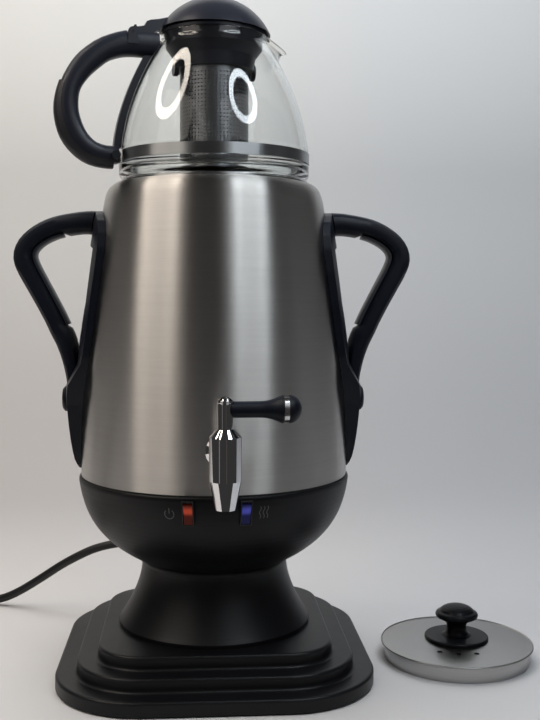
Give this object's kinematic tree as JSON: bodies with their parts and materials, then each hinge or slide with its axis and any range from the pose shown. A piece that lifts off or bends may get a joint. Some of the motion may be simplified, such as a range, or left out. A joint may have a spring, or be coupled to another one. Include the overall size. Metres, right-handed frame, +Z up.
{
  "type": "electric samovar with teapot",
  "caption": "Steel urn with a plug tap on a stepped square plinth, a hinged-lid glass teapot on its top ring, and its own lid set down beside it.",
  "frame": {"origin": "centre of the four feet on the table, under the urn's axis", "axes": "+Z up, -Y towards the viewer, where the tap and the switches are, and +X to the viewer's right, where the loose lid lies"},
  "size_m": [0.5485, 0.2844, 0.4915],
  "materials": {
    "rubber": "matt",
    "black_moulding": "satin",
    "zinc_steel": "bright zinc",
    "brushed_steel": "brushed around",
    "aluminium": "plain",
    "element_sheath": "dull",
    "ceramic_black": "matt",
    "ivory": "matt",
    "chrome": "mirror",
    "black_handle": "satin",
    "grey_trim": "satin",
    "black_pot": "soft gloss",
    "brass": "machined",
    "red_rocker": "glossy",
    "blue_rocker": "glossy",
    "black_lead": "soft",
    "glass": "clear",
    "infuser_steel": "perforated sheet, in the visual"
  },
  "bodies": {
    "urn": {"rubber_feet": "rubber", "plinth_cover": "black_moulding", "cover_screws": "zinc_steel", "plinth": "black_moulding", "tie_rods": "zinc_steel", "tie_nuts": "zinc_steel", "bowl": "black_moulding", "shell_seal": "rubber", "body_shell": "brushed_steel", "tank_floor": "brushed_steel", "heater_plate": "aluminium", "heating_element": "element_sheath", "thermostat": "ceramic_black", "thermal_cutout": "ceramic_black", "terminal_block": "ivory", "top_ring": "chrome", "left_mount": "black_handle", "left_grip": "black_handle", "left_grip_cover": "grey_trim", "left_screw_cap": "black_handle", "right_mount": "black_handle", "right_grip": "black_handle", "right_grip_cover": "grey_trim", "right_screw_cap": "black_handle", "handle_screws": "zinc_steel", "tap_body": "chrome", "tap_rosette": "chrome", "tap_seals": "rubber", "tap_nut": "zinc_steel", "power_switch": "black_handle", "warm_switch": "black_handle", "strain_relief": "black_handle", "mains_lead": "black_lead", "lead_coil": "black_lead", "mains_plug": "black_lead"},
    "tap_lever": {"tap_plug": "brass", "tap_head": "chrome", "tap_cap_screw": "chrome", "lever_stud": "zinc_steel", "lever_arm": "black_handle", "lever_ring": "chrome", "lever_knob": "black_handle"},
    "power_rocker": {"power_rocker": "red_rocker"},
    "warm_rocker": {"warm_rocker": "blue_rocker"},
    "loose_lid": {"lid_pan": "brushed_steel", "lid_escutcheon": "black_handle", "lid_knob": "black_handle", "lid_screw": "zinc_steel"},
    "teapot": {"pot_glass": "glass", "pot_band": "chrome", "pot_handle": "black_pot", "pot_handle_trim": "grey_trim", "band_screw": "chrome", "hinge_pin": "zinc_steel", "infuser_collar": "black_pot", "infuser_sleeve": "infuser_steel", "infuser_base": "infuser_steel"},
    "pot_lid": {"pot_lid": "black_pot"}
  },
  "joints": [
    {"name": "tap_turn", "type": "hinge", "parent": "urn", "child": "tap_lever", "pos_m": [0.00454, -0.12992, 0.173], "axis": [0, 0, 1], "range_deg": [-90, 0]},
    {"name": "power_rock", "type": "hinge", "parent": "urn", "child": "power_rocker", "pos_m": [-0.01814, -0.09331, 0.13285], "axis": [0.9816, -0.1908, 0], "range_deg": [-12, 0]},
    {"name": "warm_rock", "type": "hinge", "parent": "urn", "child": "warm_rocker", "pos_m": [0.01814, -0.09331, 0.13285], "axis": [0.9816, 0.1908, 0], "range_deg": [-12, 0]},
    {"name": "lid_lift", "type": "slide", "parent": "urn", "child": "loose_lid", "axis": [0, 0, 1], "range_m": [0, 0.1]},
    {"name": "teapot_lift", "type": "slide", "parent": "urn", "child": "teapot", "axis": [0, 0, 1], "range_m": [0, 0.15]},
    {"name": "pot_lid_hinge", "type": "hinge", "parent": "teapot", "child": "pot_lid", "pos_m": [-0.05978, -0.01358, 0.461], "axis": [0.2215, -0.9751, 0], "range_deg": [0, 65]}
  ]
}
